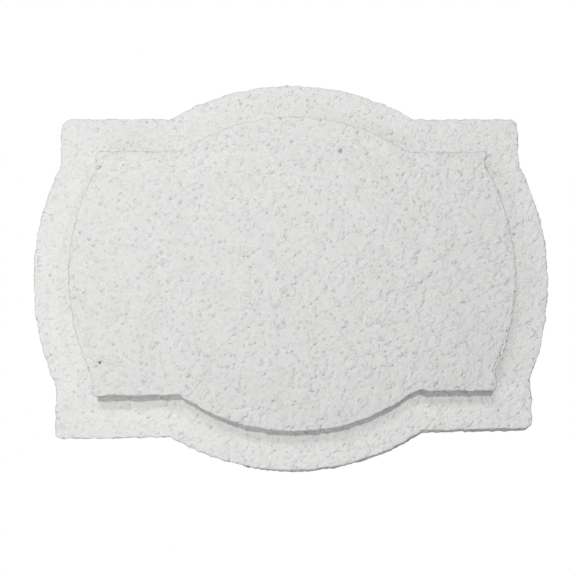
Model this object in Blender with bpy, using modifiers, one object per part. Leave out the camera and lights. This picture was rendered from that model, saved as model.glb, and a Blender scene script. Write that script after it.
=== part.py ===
"""Address plaque: a bowed backing plate with a smaller raised panel of the same outline on its front.

Metres, +Z up. The plaque hangs upright and faces -Y. The back of the plate lies on the wall at
y = 0, and the origin is the middle of that back face.
"""

import math

import bmesh
import bpy

COLLECTION_NAME = "address_plaque"

# Backing plate, measured over its coat: a rectangle with a bow standing out of each side. The bows
# above and below are alike, and so are those at the two sides. Over them it is 406.4 by 306.4 mm.
RECTANGLE_WIDTH = 0.3686
RECTANGLE_HEIGHT = 0.2506
TOP_BOW_CHORD = 0.1948
TOP_BOW_RISE = 0.0279
SIDE_BOW_CHORD = 0.1719
SIDE_BOW_RISE = 0.0189
PLATE_THICKNESS = 0.0191
PLATE_FACE_CORNER = 0.0027

# Raised panel: the plate's outline, set in by an even margin, and glued on a little off centre
PANEL_MARGIN = 0.0328
PANEL_THICKNESS = 0.0191
PANEL_FACE_CORNER = 0.0011
PANEL_SHIFT_X = -0.0006
PANEL_SHIFT_Z = 0.0002
GLUE_GAP = 0.0003

# The coat softens the inner corners, where a bow meets a straight edge, and the front edges. A board's
# outer corner is rounder than its flat face's corner by the front edge's rounding.
INNER_ROUND = 0.0050
EDGE_ROUND = 0.0015

# How finely the round stretches are drawn
BOW_STEPS = 20
INNER_STEPS = 4
CORNER_STEPS = 5
EDGE_STEPS = 3

WELD_DISTANCE = 0.00001
SMOOTH_ANGLE = math.radians(40)

COAT_COLOUR = (0.80, 0.80, 0.78, 1.0)
COAT_ROUGHNESS = 0.9


def clear_scene():
    for old in list(bpy.data.objects):
        bpy.data.objects.remove(old, do_unlink=True)


def coat_material(name):
    """White sprayed cement coat, dry and matt."""
    material = bpy.data.materials.new(name)
    material.use_nodes = True
    shader = material.node_tree.nodes["Principled BSDF"]
    shader.inputs["Base Color"].default_value = COAT_COLOUR
    shader.inputs["Roughness"].default_value = COAT_ROUGHNESS
    shader.inputs["Metallic"].default_value = 0.0
    return material


def angles(start, end, steps):
    """Evenly spaced angles, both ends included."""
    return [start + (end - start) * step / steps for step in range(steps + 1)]


def half_bow(across, chord, rise, margin):
    """(along, out) points of half a bow, from its middle to the end of its fillet on the straight edge.

    The bow is an arc over a chord of one side of the rectangle, whose size across is given. A margin
    sets the arc and the edge in by the same amount, about the same centre.
    """
    full_radius = ((chord / 2) ** 2 + rise**2) / (2 * rise)
    centre = across / 2 + rise - full_radius
    radius = full_radius - margin
    fillet_out = across / 2 - margin + INNER_ROUND
    reach = radius + INNER_ROUND
    fillet_along = math.sqrt(reach**2 - (fillet_out - centre) ** 2)
    turn = math.asin(fillet_along / reach)
    arc = [
        (radius * math.sin(a), centre + radius * math.cos(a))
        for a in angles(0.0, turn, BOW_STEPS)
    ]
    fillet = [
        (fillet_along - INNER_ROUND * math.sin(a), fillet_out - INNER_ROUND * math.cos(a))
        for a in angles(turn, 0.0, INNER_STEPS)
    ]
    return arc + fillet[1:]


def corner_arc(margin, corner_round):
    """(x, z) points of the rectangle's upper right corner."""
    centre_x = RECTANGLE_WIDTH / 2 - margin - corner_round
    centre_z = RECTANGLE_HEIGHT / 2 - margin - corner_round
    return [
        (centre_x + corner_round * math.sin(a), centre_z + corner_round * math.cos(a))
        for a in angles(0.0, math.pi / 2, CORNER_STEPS)
    ]


def outline(margin, corner_round):
    """(x, z) points once round, clockwise from the middle of the top."""
    top = half_bow(RECTANGLE_HEIGHT, TOP_BOW_CHORD, TOP_BOW_RISE, margin)
    side = half_bow(RECTANGLE_WIDTH, SIDE_BOW_CHORD, SIDE_BOW_RISE, margin)
    quarter = top + corner_arc(margin, corner_round)
    quarter += [(out, along) for along, out in reversed(side)]
    right = quarter + [(x, -z) for x, z in reversed(quarter[:-1])]
    left = [(-x, z) for x, z in reversed(right[1:-1])]
    return right + left


def outline_curve(name, points, thickness):
    """A filled flat curve, extruded to the thickness about its own plane."""
    curve = bpy.data.curves.new(name, "CURVE")
    curve.dimensions = "2D"
    curve.fill_mode = "BOTH"
    curve.extrude = thickness / 2
    spline = curve.splines.new("POLY")
    spline.points.add(len(points) - 1)
    for point, (x, z) in zip(spline.points, points):
        point.co = (x, z, 0.0, 1.0)
    spline.use_cyclic_u = True
    return curve


def lies_at(element, level):
    """Whether all of a face's or edge's corners are at one height of the board."""
    return all(abs(vert.co.z - level) < WELD_DISTANCE for vert in element.verts)


def close_caps(mesh, thickness):
    """Weld the caps on, make each one face, and mark the front rim for its rounding."""
    work = bmesh.new()
    work.from_mesh(mesh)
    bmesh.ops.remove_doubles(work, verts=work.verts, dist=WELD_DISTANCE)
    for level in (thickness / 2, -thickness / 2):
        cap = [face for face in work.faces if lies_at(face, level)]
        bmesh.ops.dissolve_faces(work, faces=cap)
    weight = work.edges.layers.float.new("bevel_weight_edge")
    for edge in work.edges:
        if lies_at(edge, thickness / 2):
            edge[weight] = 1.0
    work.to_mesh(mesh)
    work.free()


def board(collection, name, margin, face_corner, thickness, middle):
    """An upright board of the plaque's outline about the given middle, with its front edge rounded."""
    points = outline(margin, face_corner + EDGE_ROUND)
    drawn = bpy.data.objects.new(name + "_outline", outline_curve(name, points, thickness))
    collection.objects.link(drawn)
    drawn.location = middle
    drawn.rotation_euler.x = math.pi / 2
    bpy.context.view_layer.update()
    depsgraph = bpy.context.evaluated_depsgraph_get()
    mesh = bpy.data.meshes.new_from_object(drawn.evaluated_get(depsgraph))
    mesh.name = name
    close_caps(mesh, thickness)
    solid = bpy.data.objects.new(name, mesh)
    solid.matrix_world = drawn.matrix_world.copy()
    collection.objects.link(solid)
    bpy.data.objects.remove(drawn, do_unlink=True)

    rounding = solid.modifiers.new("rounded front edge", "BEVEL")
    rounding.limit_method = "WEIGHT"
    rounding.width = EDGE_ROUND
    rounding.segments = EDGE_STEPS
    mesh.shade_smooth()
    mesh.set_sharp_from_angle(angle=SMOOTH_ANGLE)
    mesh.materials.clear()
    mesh.materials.append(coat_material(name + "_coat"))
    return solid


def backing_plate(collection):
    """The plate that lies on the wall."""
    middle = (0.0, -PLATE_THICKNESS / 2, 0.0)
    return board(collection, "backing_plate", 0.0, PLATE_FACE_CORNER, PLATE_THICKNESS, middle)


def raised_panel(collection):
    """The smaller panel that carries the numbers, on the plate's front."""
    back_y = -(PLATE_THICKNESS + GLUE_GAP)
    middle = (PANEL_SHIFT_X, back_y - PANEL_THICKNESS / 2, PANEL_SHIFT_Z)
    return board(collection, "raised_panel", PANEL_MARGIN, PANEL_FACE_CORNER, PANEL_THICKNESS, middle)


def main():
    clear_scene()
    collection = bpy.data.collections.new(COLLECTION_NAME)
    bpy.context.scene.collection.children.link(collection)
    backing_plate(collection)
    raised_panel(collection)


main()
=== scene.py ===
"""Looks of the address plaque: two boards under one sprayed white stucco coat, seen from the front.

Metres, +Z up, in the frame's own coordinates. The plaque faces -Y and its back lies at y = 0.
"""

import itertools
import math

import bpy
import numpy as np
from mathutils import Matrix, Vector


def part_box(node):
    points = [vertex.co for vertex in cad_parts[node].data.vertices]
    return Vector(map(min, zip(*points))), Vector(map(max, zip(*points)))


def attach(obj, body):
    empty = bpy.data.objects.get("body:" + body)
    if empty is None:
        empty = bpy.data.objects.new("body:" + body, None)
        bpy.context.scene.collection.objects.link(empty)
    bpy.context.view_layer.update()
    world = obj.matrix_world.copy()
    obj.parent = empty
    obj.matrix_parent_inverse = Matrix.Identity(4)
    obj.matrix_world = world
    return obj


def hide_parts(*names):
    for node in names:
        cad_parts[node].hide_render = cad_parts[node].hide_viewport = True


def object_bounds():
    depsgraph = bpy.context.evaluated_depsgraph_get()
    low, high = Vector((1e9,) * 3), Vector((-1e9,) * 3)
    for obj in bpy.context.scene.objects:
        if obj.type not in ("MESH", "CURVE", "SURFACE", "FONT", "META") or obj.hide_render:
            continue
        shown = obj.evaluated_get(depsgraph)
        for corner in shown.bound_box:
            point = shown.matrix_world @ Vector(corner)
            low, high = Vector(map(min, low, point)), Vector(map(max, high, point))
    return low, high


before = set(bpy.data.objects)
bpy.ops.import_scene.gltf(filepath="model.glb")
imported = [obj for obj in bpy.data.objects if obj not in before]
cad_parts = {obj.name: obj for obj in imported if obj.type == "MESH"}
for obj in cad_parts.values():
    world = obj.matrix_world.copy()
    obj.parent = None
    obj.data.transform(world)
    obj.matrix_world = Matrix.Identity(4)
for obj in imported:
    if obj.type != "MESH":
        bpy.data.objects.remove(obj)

cad_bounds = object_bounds()
MM = 0.001

# The boards' outline: a rectangle with a bow standing out of each side. The sizes are the solids',
# but for the panel's margin, because its coat reaches a little further out
RECTANGLE_WIDTH = 368.6 * MM
RECTANGLE_HEIGHT = 250.6 * MM
TOP_BOW_CHORD = 194.8 * MM
TOP_BOW_RISE = 27.9 * MM
SIDE_BOW_CHORD = 171.9 * MM
SIDE_BOW_RISE = 18.9 * MM
PANEL_MARGIN = 32.4 * MM
INNER_ROUND = 5.0 * MM
EDGE_ROUND = 1.5 * MM
PLATE_CORNER = 4.2 * MM
PANEL_CORNER = 2.6 * MM

# The panel was fixed on a little low and a little turned
PANEL_SAG = 0.5 * MM
PANEL_TURN = math.radians(-0.15)

# Mesh spacing
PLATE_STEP = 0.82 * MM
PANEL_STEP = 0.90 * MM
WALL_STEP = 2.0 * MM
EDGE_STEPS = 4
CORNER_STEPS = 6
INNER_STEPS = 5

# How far in from the edge the front is made of rings. Inside them the panel has a grid, and the plate
# one flat face, which the panel hides
PLATE_BAND = 38.0 * MM
PANEL_BAND = 3.0 * MM

PLATE_SEED = 1207
PANEL_SEED = 1257
TINY = 1e-9

# The spray fell lightly at the upper left and heavily at the lower right: where x less this share of z
# passes the first value the coat begins to grow, and from the second on it is at its heaviest
HEAVIER_DOWN = 0.5
LIGHT_COAT = -140 * MM
HEAVY_COAT = 100 * MM

# How strong the coat's relief is on each board, and how far the walls stray in and out
PLATE_COAT_WEIGHT = 0.85
PANEL_COAT_WEIGHT = 1.1
PLATE_RAGGED = 0.75 * MM
PANEL_RAGGED = 0.45 * MM

# The islands of coat, in millimetres: height and spacing, the level of noise above which they stand
# where the coat is light, how much lower that level is where it is heavy, how soft their rims are,
# and how long their ramps are
ISLANDS = (
    (0.60, 7.0, 1.0, 1.0, 0.24, 4.0),
    (0.55, 4.2, 0.95, 0.65, 0.42, 2.4),
    (0.90, 2.6, 0.5, 0.0, 0.5, 1.2),
)
SWELL_HEIGHT = 0.04 * MM
SWELL_SPACING = 24 * MM

# The waves of the walls: share, and spacing in millimetres
RAGGED_WAVES = ((1.0, 5.5), (0.8, 2.4))

# The islands are lower on the walls by this share. The front counts as nearly a wall at its rim, and
# that fades out over the rim's width, so that the outline isn't lumpy
WALL_CALM = 0.6
RIM_CALM = 0.9
RIM_WIDTH = 3.0 * MM

# The coat has run a little: on some sides the wall stands out as a lip behind the front edge, which is
# drawn in by a share of the lip's width. In millimetres: width, the way it faces in x and z, and
# between which two values of x it begins
PLATE_LIP = (2.3, 0.25, -0.97, -120, 40)
PANEL_LIP = (1.5, 0.9, -0.43, 60, 140)
LIP_DEPTH = 5.0 * MM
LIP_REACH = 10.0 * MM
LIP_DRAWN_IN = 0.55

# The steep side of each island, down to the right. The other way it runs out in a ramp of steps
TRAIL = np.array((0.55, 0.0, -0.83))
SMEAR_STEPS = 4

# The islands' noise has no waves shorter than this, because the mesh can't carry them
FINEST_WAVE = 1.5 * MM

# The islands and specks are longer along this slant than across it
SLANT = np.array((0.87, 0.0, 0.5))
SLANT_ANGLE = math.radians(-40)
STRETCH = 1.5

# Grooves and pits in the coat, in millimetres: x, z of one end, x, z of the other, radius, depth
PLATE_MARKS = (
    (155, 104.6, 168, 104.9, 1.2, 0.7),
    (171, 104.2, 183, 104.0, 1.2, 0.8),
    (-150.5, 117, -150.2, 126, 1.2, 0.9),
    (-110, 118, -110.3, 126, 1.2, 0.8),
    (100, 109, 104, 115, 1.3, 0.8),
)
PANEL_MARKS = (
    (-147.2, -68.1, -147.2, -68.1, 2.0, 2.5),
    (35.0, 92.6, 36.0, 93.4, 2.4, 1.5),
    (150.5, 80, 150.9, 86, 2.2, 1.8),
    (55.5, -73.5, 58.5, -76.6, 1.3, 0.8),
    (58.5, -76.6, 61.5, -76.8, 1.3, 0.9),
    (61.5, -76.8, 64.5, -74, 1.3, 0.8),
)

# Dark pits of painted shade, in millimetres: x, z, radius, and the share of the coat's brightness at
# their bottoms.
# A bottom takes this share of the radius
PANEL_PIT_SHADE = ((-147.2, -68.1, 1.15, 0.1), (35.5, 93.0, 2.0, 0.5), (150.9, 83.5, 2.0, 0.4))
PIT_BOTTOM = 0.4

# Where the outline strays from its true line, in millimetres: x, z, radius, move along x, move along z
PLATE_PUSHES = (
    (-184.3, 125.3, 9.0, 2.0, -2.0),
    (184.3, 125.3, 6.0, -0.9, -0.9),
    (184.3, -125.3, 6.0, -0.9, 0.9),
    (184.3, 98.0, 3.2, -1.5, 0.0),
    (184.3, -102.0, 4.5, 1.0, 0.0),
)
PANEL_PUSHES = (
    (93.0, -92.5, 6.0, 0.0, 1.4),
    (-84.0, -93.5, 4.0, -0.3, -0.9),
)


# The outline and its rings


def evenly(start, end, steps):
    """Evenly spaced values, both ends included."""
    return np.linspace(start, end, steps + 1)


def half_bow(across, chord, rise, margin, steps):
    """(along, out) points of half a bow and its fillet, from the bow's middle outwards."""
    full_radius = ((chord / 2) ** 2 + rise**2) / (2 * rise)
    centre = across / 2 + rise - full_radius
    radius = full_radius - margin
    fillet_out = across / 2 - margin + INNER_ROUND
    reach = radius + INNER_ROUND
    fillet_along = math.sqrt(reach**2 - (fillet_out - centre) ** 2)
    turn = math.asin(fillet_along / reach)
    a = evenly(0.0, turn, steps)
    arc = np.column_stack([radius * np.sin(a), centre + radius * np.cos(a)])
    a = evenly(turn, 0.0, INNER_STEPS)[1:]
    fillet = np.column_stack(
        [fillet_along - INNER_ROUND * np.sin(a), fillet_out - INNER_ROUND * np.cos(a)]
    )
    return np.vstack([arc, fillet])


def straight(start, end, steps):
    """Points between two ends, without the ends."""
    share = evenly(0.0, 1.0, steps)[1:-1, None]
    return start + (end - start) * share


class Outline:
    """Rings of one board, all with as many points as the outermost, so that they join one to one."""

    def __init__(self, margin, corner, centre, turn, step):
        self.margin = margin
        self.corner = corner
        self.centre = np.array(centre)
        cos, sin = math.cos(turn), math.sin(turn)
        self.turned = np.array([[cos, sin], [-sin, cos]])
        self.step = step
        top_end = half_bow(RECTANGLE_HEIGHT, TOP_BOW_CHORD, TOP_BOW_RISE, margin, 1)[-1, 0]
        side_end = half_bow(RECTANGLE_WIDTH, SIDE_BOW_CHORD, SIDE_BOW_RISE, margin, 1)[-1, 0]
        self.bow_steps = (round(top_end / step), round(side_end / step))
        self.run_steps = (
            round((RECTANGLE_WIDTH / 2 - margin - corner - top_end) / step),
            round((RECTANGLE_HEIGHT / 2 - margin - corner - side_end) / step),
        )

    def quarter(self, inset):
        """A ring's upper right quarter, before the board is turned and moved to its place."""
        margin = self.margin + inset
        top = half_bow(RECTANGLE_HEIGHT, TOP_BOW_CHORD, TOP_BOW_RISE, margin, self.bow_steps[0])
        side = half_bow(RECTANGLE_WIDTH, SIDE_BOW_CHORD, SIDE_BOW_RISE, margin, self.bow_steps[1])
        side = side[::-1, ::-1]
        middle = np.array([RECTANGLE_WIDTH, RECTANGLE_HEIGHT]) / 2 - margin - self.corner
        a = evenly(0.0, math.pi / 2, CORNER_STEPS)
        corner = middle + self.corner * np.column_stack([np.sin(a), np.cos(a)])
        run_top = straight(top[-1], corner[0], self.run_steps[0])
        run_side = straight(corner[-1], side[0], self.run_steps[1])
        self.corner_at = len(top) + len(run_top) + CORNER_STEPS // 2
        return np.vstack([top, run_top, corner, run_side, side])

    def ring(self, inset):
        """(x, z) points once round, clockwise from the middle of the top, seen from the front."""
        quarter = self.quarter(inset)
        lower = quarter[-2::-1] * (1, -1)
        right = np.vstack([quarter, lower])
        left = right[-2:0:-1] * (-1, 1)
        return np.vstack([right, left]) @ self.turned + self.centre

    def corners(self):
        """Places in a ring of its four corners: upper right, lower right, lower left, upper left."""
        right = 2 * len(self.quarter(0.0)) - 2
        full = 2 * right
        at = self.corner_at
        return [at, right - at, right + at, full - at]


def outward(ring):
    """Unit normals of a ring, pointing away from its middle."""
    along = np.roll(ring, -1, 0) - np.roll(ring, 1, 0)
    normal = np.column_stack([-along[:, 1], along[:, 0]])
    return normal / np.linalg.norm(normal, axis=1, keepdims=True)


# Meshes: walls, rounded front edge and front band in rings, then the middle


class Shell:
    """Points, normals and faces of one board, gathered ring by ring."""

    def __init__(self):
        self.points = []
        self.normals = []
        self.walls = []
        self.faces = []
        self.count = 0

    def add(self, ring, y, normals, wall):
        """Adds a row of points at depth y, and returns their numbers.

        wall is 1 on a side wall and 0 on the front.
        """
        number = np.arange(self.count, self.count + len(ring))
        self.count += len(ring)
        self.points.append(np.column_stack([ring[:, 0], np.broadcast_to(y, len(ring)), ring[:, 1]]))
        self.normals.append(np.broadcast_to(normals, (len(ring), 3)))
        self.walls.append(np.full(len(ring), wall))
        return number

    def join(self, outer, inner):
        """Quads between two closed rows."""
        following = np.roll(outer, -1), np.roll(inner, -1)
        self.faces.extend(np.column_stack([outer, following[0], following[1], inner]).tolist())


def lip_shape(ring, side, lip):
    """How wide the lip is at each point of the outermost ring."""
    width, toward_x, toward_z, from_x, to_x = lip
    facing = np.clip(side @ (toward_x, toward_z), 0, 1) ** 2
    return width * MM * facing * smooth((ring[:, 0] / MM - from_x) / (to_x - from_x))


def board_shell(outline, thickness, back_y, band, filled, lip):
    """One board's closed shell: back, wall, rounded front edge, band and middle."""
    shell = Shell()
    front_y = back_y - thickness
    front = np.array([0.0, -1.0, 0.0])
    outer = outline.ring(0.0)
    away = outward(outer)
    side = np.column_stack([away[:, 0], np.zeros(len(away)), away[:, 1]])
    lip = lip_shape(outer, away, lip)[:, None] * away

    rows = []
    wall_steps = round((thickness - EDGE_ROUND) / WALL_STEP)
    for y in evenly(back_y, front_y + EDGE_ROUND, wall_steps):
        depth = (y - front_y - EDGE_ROUND) / LIP_DEPTH
        rows.append(shell.add(outer + lip * (min(1.0, depth) - LIP_DRAWN_IN), y, side, 1.0))
    for a in evenly(0.0, math.pi / 2, EDGE_STEPS)[1:]:
        ring = outline.ring(EDGE_ROUND * (1 - math.cos(a))) - lip * LIP_DRAWN_IN
        normals = side * math.cos(a) + front * math.sin(a)
        rows.append(shell.add(ring, front_y + EDGE_ROUND * (1 - math.sin(a)), normals, math.cos(a)))
    band_steps = round((band - EDGE_ROUND) / outline.step)
    for inset in evenly(EDGE_ROUND, band, band_steps)[1:]:
        ring = outline.ring(inset) - lip * LIP_DRAWN_IN * max(0.0, 1 - inset / LIP_REACH)
        rows.append(shell.add(ring, front_y, front, RIM_CALM * max(0.0, 1 - inset / RIM_WIDTH)))
    for outer_row, inner_row in zip(rows, rows[1:]):
        shell.join(outer_row, inner_row)
    shell.faces.append(rows[0][::-1].tolist())

    if filled:
        fill_middle(shell, rows[-1], outline, band, front_y, front)
    else:
        shell.faces.append(rows[-1].tolist())
    return shell


def fill_middle(shell, row, outline, band, front_y, front):
    """A grid over the middle of the front, stretched between the four sides of the innermost ring."""
    ring = outline.ring(band)
    ur, lr, ll, ul = outline.corners()
    full = len(ring)
    top = [n % full for n in range(ul, ur + full + 1)]
    bottom = [n % full for n in range(ll, lr - 1, -1)]
    left = [n % full for n in range(ul, ll - 1, -1)]
    right = [n % full for n in range(ur, lr + 1)]
    u = np.linspace(0, 1, len(top))[None, :, None]
    v = np.linspace(0, 1, len(left))[:, None, None]
    above, below = ring[top][None], ring[bottom][None]
    before, after = ring[left][:, None], ring[right][:, None]
    grid = (1 - v) * above + v * below + (1 - u) * before + u * after
    grid -= (1 - v) * ((1 - u) * ring[ul] + u * ring[ur]) + v * ((1 - u) * ring[ll] + u * ring[lr])
    number = np.empty(grid.shape[:2], int)
    number[0], number[-1], number[:, 0], number[:, -1] = row[top], row[bottom], row[left], row[right]
    inner = grid[1:-1, 1:-1]
    fresh = shell.add(inner.reshape(-1, 2), front_y, front, 0.0)
    number[1:-1, 1:-1] = fresh.reshape(inner.shape[:2])
    quads = np.stack([number[:-1, :-1], number[:-1, 1:], number[1:, 1:], number[1:, :-1]], -1)
    shell.faces.extend(quads.reshape(-1, 4).tolist())


# The coat's relief


def smooth(t):
    """Runs from 0 to 1 as t does, with a soft start and end."""
    t = np.clip(t, 0, 1)
    return t * t * (3 - 2 * t)


def waves(points, spacing, seed):
    """Smooth noise from -1 to 1, with swells about one spacing apart."""
    rng = np.random.default_rng(seed)
    low = points.min(0) - spacing
    shape = tuple(np.ceil((points.max(0) - low) / spacing).astype(int) + 3)
    value = rng.uniform(-1, 1, shape)
    at = (points - low) / spacing
    home = np.floor(at).astype(int)
    part = smooth(at - home)
    total = np.zeros(len(points))
    for offset in itertools.product((0, 1), repeat=3):
        corner = np.array(offset)
        weight = np.prod(np.where(corner, part, 1 - part), axis=1)
        total += weight * value[tuple((home + corner).T)]
    return total


def islands(points, spacing, level, soften, smear, seed):
    """Flat uneven islands of coat, from 0 beside them to 1 on top, where noise stands above a level.

    soften is how much of the noise the rim's slope takes. Against TRAIL each island runs out in a ramp
    as long as smear, so that only its other side ends steeply.
    """
    best = np.zeros(len(points))
    points = points - np.outer(points @ SLANT, SLANT) * (1 - 1 / STRETCH)
    for step in range(SMEAR_STEPS):
        there = points + TRAIL * smear * step / SMEAR_STEPS
        noise = waves(there, spacing, seed) + 0.5 * waves(there, spacing / 2, seed + 1)
        if spacing / 4 > FINEST_WAVE:
            noise += 0.25 * waves(there, spacing / 4, seed + 2)
        island = smooth((noise - level) / soften + 0.5)
        best = np.maximum(best, island * (1 - step / SMEAR_STEPS))
    return best


def grooves(points, marks):
    """Depth cut by grooves and pits, each (x, z) to (x, z), a radius and a depth, in millimetres."""
    flat = points[:, (0, 2)] / MM
    cut = np.zeros(len(points))
    for start_x, start_z, end_x, end_z, radius, depth in marks:
        start = np.array([start_x, start_z])
        along = np.array([end_x, end_z]) - start
        share = np.clip((flat - start) @ along / max(along @ along, TINY), 0, 1)
        away = np.linalg.norm(flat - start - share[:, None] * along, axis=1)
        cut = np.maximum(cut, depth * MM * smooth(1 - away / radius))
    return cut


def pushed(points, pushes):
    """Points moved sideways near each of the places (x, z, radius, move x, move z), in millimetres."""
    points = points.copy()
    for x, z, radius, move_x, move_z in pushes:
        away = np.hypot(points[:, 0] / MM - x, points[:, 2] / MM - z)
        share = smooth(1 - away / radius) * MM
        points[:, 0] += share * move_x
        points[:, 2] += share * move_z
    return points


def coat_relief(points, wall, ragged, seed):
    """Height of the coat over each point, in metres."""
    across = points[:, 0] - HEAVIER_DOWN * points[:, 2]
    heavy = smooth((across - LIGHT_COAT) / (HEAVY_COAT - LIGHT_COAT))
    height = SWELL_HEIGHT * waves(points, SWELL_SPACING, seed)
    layer_seed = seed + 2
    for high, spacing, level, lower, soften, smear in ISLANDS:
        here = level - lower * heavy
        height += high * MM * islands(points, spacing * MM, here, soften, smear * MM, layer_seed)
        layer_seed += 3
    edge = np.zeros(len(points))
    for share, spacing in RAGGED_WAVES:
        edge += share * waves(points, spacing * MM, layer_seed)
        layer_seed += 1
    return (height - height.mean()) * (1 - WALL_CALM * wall) + wall * (ragged * edge)


def make_piece(name, shell, node, material, marks, pushes, ragged, weight, seed):
    """Lays the coat over a shell, and puts it in place of a solid."""
    points = pushed(np.vstack(shell.points), pushes)
    normals = np.vstack(shell.normals)
    wall = np.concatenate(shell.walls)
    height = weight * coat_relief(points, wall, ragged, seed) - grooves(points, marks)
    points = points + normals * height[:, None]
    # The row round the back keeps its depth, so that the back lies flat
    rim = len(shell.points[0])
    points[:rim, 1] = shell.points[0][:, 1]
    mesh = bpy.data.meshes.new(name)
    mesh.from_pydata(points.tolist(), [], shell.faces)
    mesh.materials.append(material)
    mesh.shade_smooth()
    # Its edges stay sharp, so that the back shades evenly
    ends = np.array([edge.vertices[:] for edge in mesh.edges])
    sharp = mesh.attributes.new("sharp_edge", "BOOLEAN", "EDGE")
    sharp.data.foreach_set("value", (ends < rim).all(axis=1))
    piece = bpy.data.objects.new(name, mesh)
    bpy.context.scene.collection.objects.link(piece)
    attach(piece, "root")
    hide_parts(node)


# Material

COAT_ROUGHNESS = 0.92
COAT_SPECULAR = 0.2

# Blotches: noise scale and detail, between which two values they turn, and their two colours
BLOTCH_SCALE = 60.0
BLOTCH_DETAIL = 6.0
BLOTCH_TURN = (0.3, 0.7)
BLOTCH_COLOURS = ((0.705, 0.71, 0.70, 1), (0.735, 0.74, 0.73, 1))

# Painted shade: the colour darkens down to the right, between these two places along that way, in
# metres. Each board's two values are its brightness at them
PAINTED_SHADE_WAY = (0.7, 0.0, -0.7)
PAINTED_SHADE_PLACES = (-0.16, 0.14)
PLATE_PAINTED_SHADE = (1.045, 0.975)
PANEL_PAINTED_SHADE = (1.0, 0.882)

# Specks: cells to a metre, where in a cell a speck's slope begins and ends, and height. Then the grain
SPECK_SCALE = 300.0
SPECK_SLOPE = (0.05, 0.40)
SPECK_HEIGHT = 0.55 * MM
GRAIN_SCALE = 650.0
GRAIN_DETAIL = 3.0
GRAIN_HEIGHT = 1.1 * MM


def ranged(nodes, links, value, start, end, interpolation="LINEAR"):
    """A socket with the value mapped so that the range start (low, high) becomes the range end."""
    node = nodes.new("ShaderNodeMapRange")
    node.interpolation_type = interpolation
    node.inputs["From Min"].default_value = start[0]
    node.inputs["From Max"].default_value = start[1]
    node.inputs["To Min"].default_value = end[0]
    node.inputs["To Max"].default_value = end[1]
    links.new(value, node.inputs["Value"])
    return node.outputs["Result"]


def noise(nodes, links, place, scale, detail):
    """A socket with noise over the place."""
    node = nodes.new("ShaderNodeTexNoise")
    node.inputs["Scale"].default_value = scale
    node.inputs["Detail"].default_value = detail
    links.new(place, node.inputs["Vector"])
    return node.outputs["Fac"]


def vector_math(nodes, links, operation, vector, other):
    """A vector node that joins a socket and a constant vector."""
    node = nodes.new("ShaderNodeVectorMath")
    node.operation = operation
    node.inputs[1].default_value = other
    links.new(vector, node.inputs[0])
    return node


def bump(nodes, links, height, distance):
    """A bump node for heights from 0 to 1, the distance high."""
    node = nodes.new("ShaderNodeBump")
    node.inputs["Strength"].default_value = 1.0
    node.inputs["Distance"].default_value = distance
    links.new(height, node.inputs["Height"])
    return node


def coat_material(name, painted_shade_ends, pit_shades):
    """White cement coat: faint blotches, painted shade that darkens it down to the right and in dark
    pits, and specks.
    """
    material = bpy.data.materials.new(name)
    material.use_nodes = True
    nodes, links = material.node_tree.nodes, material.node_tree.links
    shader = nodes["Principled BSDF"]
    shader.inputs["Roughness"].default_value = COAT_ROUGHNESS
    shader.inputs["Specular IOR Level"].default_value = COAT_SPECULAR
    place = nodes.new("ShaderNodeTexCoord").outputs["Object"]

    blotches = nodes.new("ShaderNodeValToRGB")
    for element, turn, colour in zip(blotches.color_ramp.elements, BLOTCH_TURN, BLOTCH_COLOURS):
        element.position = turn
        element.color = colour
    links.new(noise(nodes, links, place, BLOTCH_SCALE, BLOTCH_DETAIL), blotches.inputs["Fac"])

    # Painted shade down to the right, then in each pit, scales the blotches' colour
    across = vector_math(nodes, links, "DOT_PRODUCT", place, PAINTED_SHADE_WAY)
    painted_shade = ranged(nodes, links, across.outputs["Value"], PAINTED_SHADE_PLACES, painted_shade_ends)
    upright = vector_math(nodes, links, "MULTIPLY", place, (1.0, 0.0, 1.0))
    # Painted shade in each pit, darkest over its bottom
    for x, z, radius, darkness in pit_shades:
        middle = (x * MM, 0.0, z * MM)
        away = vector_math(nodes, links, "DISTANCE", upright.outputs["Vector"], middle)
        slope = (PIT_BOTTOM * radius * MM, radius * MM)
        pit_shade = ranged(nodes, links, away.outputs["Value"], slope, (darkness, 1.0), "SMOOTHSTEP")
        pit_shaded = nodes.new("ShaderNodeMath")
        pit_shaded.operation = "MULTIPLY"
        links.new(painted_shade, pit_shaded.inputs[0])
        links.new(pit_shade, pit_shaded.inputs[1])
        painted_shade = pit_shaded.outputs["Value"]
    painted_shade_colour = nodes.new("ShaderNodeVectorMath")
    painted_shade_colour.operation = "SCALE"
    links.new(blotches.outputs["Color"], painted_shade_colour.inputs["Vector"])
    links.new(painted_shade, painted_shade_colour.inputs["Scale"])
    links.new(painted_shade_colour.outputs["Vector"], shader.inputs["Base Color"])

    slant = nodes.new("ShaderNodeMapping")
    slant.vector_type = "TEXTURE"
    slant.inputs["Rotation"].default_value = (0, SLANT_ANGLE, 0)
    slant.inputs["Scale"].default_value = (STRETCH, 1, 1)
    links.new(place, slant.inputs["Vector"])
    specks = nodes.new("ShaderNodeTexVoronoi")
    specks.inputs["Scale"].default_value = SPECK_SCALE
    links.new(slant.outputs["Vector"], specks.inputs["Vector"])
    bead = ranged(nodes, links, specks.outputs["Distance"], SPECK_SLOPE, (1.0, 0.0), "SMOOTHSTEP")
    raised = bump(nodes, links, bead, SPECK_HEIGHT)
    grain = bump(nodes, links, noise(nodes, links, place, GRAIN_SCALE, GRAIN_DETAIL), GRAIN_HEIGHT)
    links.new(raised.outputs["Normal"], grain.inputs["Normal"])
    links.new(grain.outputs["Normal"], shader.inputs["Normal"])
    return material


# The pieces

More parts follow.
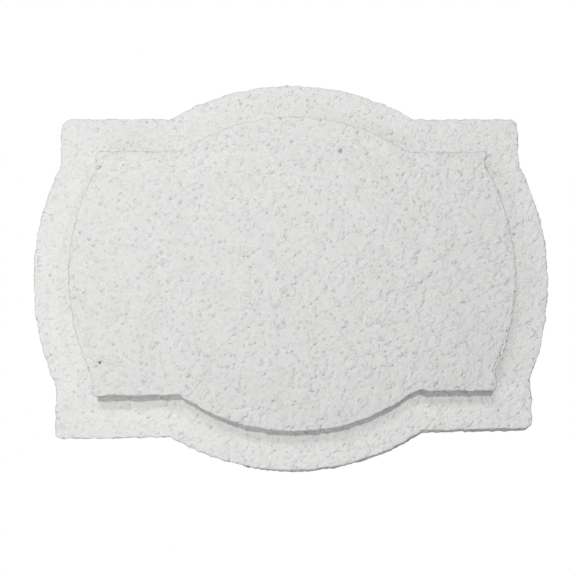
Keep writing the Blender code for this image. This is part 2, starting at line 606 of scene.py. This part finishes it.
plate_low, plate_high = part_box("backing_plate")
panel_low, panel_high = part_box("raised_panel")
plate_outline = Outline(0.0, PLATE_CORNER, (0.0, 0.0), 0.0, PLATE_STEP)
make_piece(
    "stucco_plate",
    board_shell(plate_outline, plate_high.y - plate_low.y, plate_high.y, PLATE_BAND, False, PLATE_LIP),
    "backing_plate",
    coat_material("plate_coat", PLATE_PAINTED_SHADE, ()),
    PLATE_MARKS,
    PLATE_PUSHES,
    PLATE_RAGGED,
    PLATE_COAT_WEIGHT,
    PLATE_SEED,
)
panel_x = (panel_low.x + panel_high.x) / 2
panel_z = (panel_low.z + panel_high.z) / 2 - PANEL_SAG
panel_outline = Outline(PANEL_MARGIN, PANEL_CORNER, (panel_x, panel_z), PANEL_TURN, PANEL_STEP)
make_piece(
    "stucco_panel",
    board_shell(panel_outline, panel_high.y - panel_low.y, panel_high.y, PANEL_BAND, True, PANEL_LIP),
    "raised_panel",
    coat_material("panel_coat", PANEL_PAINTED_SHADE, PANEL_PIT_SHADE),
    PANEL_MARKS,
    PANEL_PUSHES,
    PANEL_RAGGED,
    PANEL_COAT_WEIGHT,
    PANEL_SEED,
)

# Floor, well below the camera's view

FLOOR_DROP = 0.45
FLOOR_HALF = 1.0
FLOOR_COLOUR = (0.85, 0.85, 0.85, 1)
FLOOR_ROUGHNESS = 0.9
floor_z = cad_bounds[0][2] - FLOOR_DROP
floor_corners = ((-1, -1), (1, -1), (1, 1), (-1, 1))
floor_mesh = bpy.data.meshes.new("floor")
floor_mesh.from_pydata([(x, y, floor_z) for x, y in floor_corners], [], [(0, 1, 2, 3)])
floor_mesh.transform(Matrix.Diagonal((FLOOR_HALF, FLOOR_HALF, 1, 1)))
floor = bpy.data.objects.new("floor", floor_mesh)
bpy.context.scene.collection.objects.link(floor)
floor_coat = bpy.data.materials.new("floor")
floor_coat.use_nodes = True
floor_shader = floor_coat.node_tree.nodes["Principled BSDF"]
floor_shader.inputs["Base Color"].default_value = FLOOR_COLOUR
floor_shader.inputs["Roughness"].default_value = FLOOR_ROUGHNESS
floor_mesh.materials.append(floor_coat)

# Camera: its place, how it is turned, and its focal length in the picture's pixels

CAMERA_PLACE = (-31.4 * MM, -565.2 * MM, -69.7 * MM)
CAMERA_YAW = math.radians(-2.69)
CAMERA_PITCH = math.radians(6.04)
CAMERA_ROLL = math.radians(-0.836)
LENS_PIXELS = 700
IMAGE_PIXELS = 576
SENSOR = 36.0

camera_data = bpy.data.cameras.new("camera")
camera_data.sensor_width = SENSOR
camera_data.lens = SENSOR * LENS_PIXELS / IMAGE_PIXELS
camera = bpy.data.objects.new("camera", camera_data)
camera.matrix_world = (
    Matrix.Translation(CAMERA_PLACE)
    @ Matrix.Rotation(CAMERA_YAW, 4, "Z")
    @ Matrix.Rotation(math.pi / 2 + CAMERA_PITCH, 4, "X")
    @ Matrix.Rotation(CAMERA_ROLL, 4, "Z")
)
bpy.context.scene.collection.objects.link(camera)
bpy.context.scene.camera = camera

# Lamps: name, place, size across and power. The key casts the band under the panel, with the two high
# ones. The second shines from the right. The last three lighten the band, most at the left

LAMPS = (
    ("key", (-0.14, -1.6, 0.33), 0.06, 10.6),
    ("high_window", (-0.3, -1.8, 0.95), 0.4, 3.9),
    ("high_lamp", (-0.2, -0.9, 0.5), 0.3, 1.4),
    ("second", (0.28, -0.65, 0.25), 0.04, 0.47),
    ("front", (0.0, -1.2, -0.06), 0.2, 2.6),
    ("low_fill", (-0.5, -0.7, -0.2), 0.3, 0.65),
    ("low_left", (-0.42, -0.3, -0.3), 0.15, 0.16),
)
for lamp_name, lamp_place, lamp_size, lamp_power in LAMPS:
    lamp_data = bpy.data.lights.new(lamp_name, "AREA")
    lamp_data.shape = "DISK"
    lamp_data.size = lamp_size
    lamp_data.energy = lamp_power
    lamp = bpy.data.objects.new(lamp_name, lamp_data)
    lamp.location = lamp_place
    lamp.rotation_euler = (-Vector(lamp_place)).to_track_quat("-Z", "Y").to_euler()
    bpy.context.scene.collection.objects.link(lamp)

# The world is white to the camera, and gives only this much light
AMBIENT = 0.06
world = bpy.data.worlds.new("world")
bpy.context.scene.world = world
world.use_nodes = True
nodes, links = world.node_tree.nodes, world.node_tree.links
background = nodes["Background"]
background.inputs["Color"].default_value = (1, 1, 1, 1)
rays = nodes.new("ShaderNodeLightPath")
strength = ranged(nodes, links, rays.outputs["Is Camera Ray"], (0.0, 1.0), (AMBIENT, 1.0))
links.new(strength, background.inputs["Strength"])

bpy.context.scene.view_settings.view_transform = "Standard"
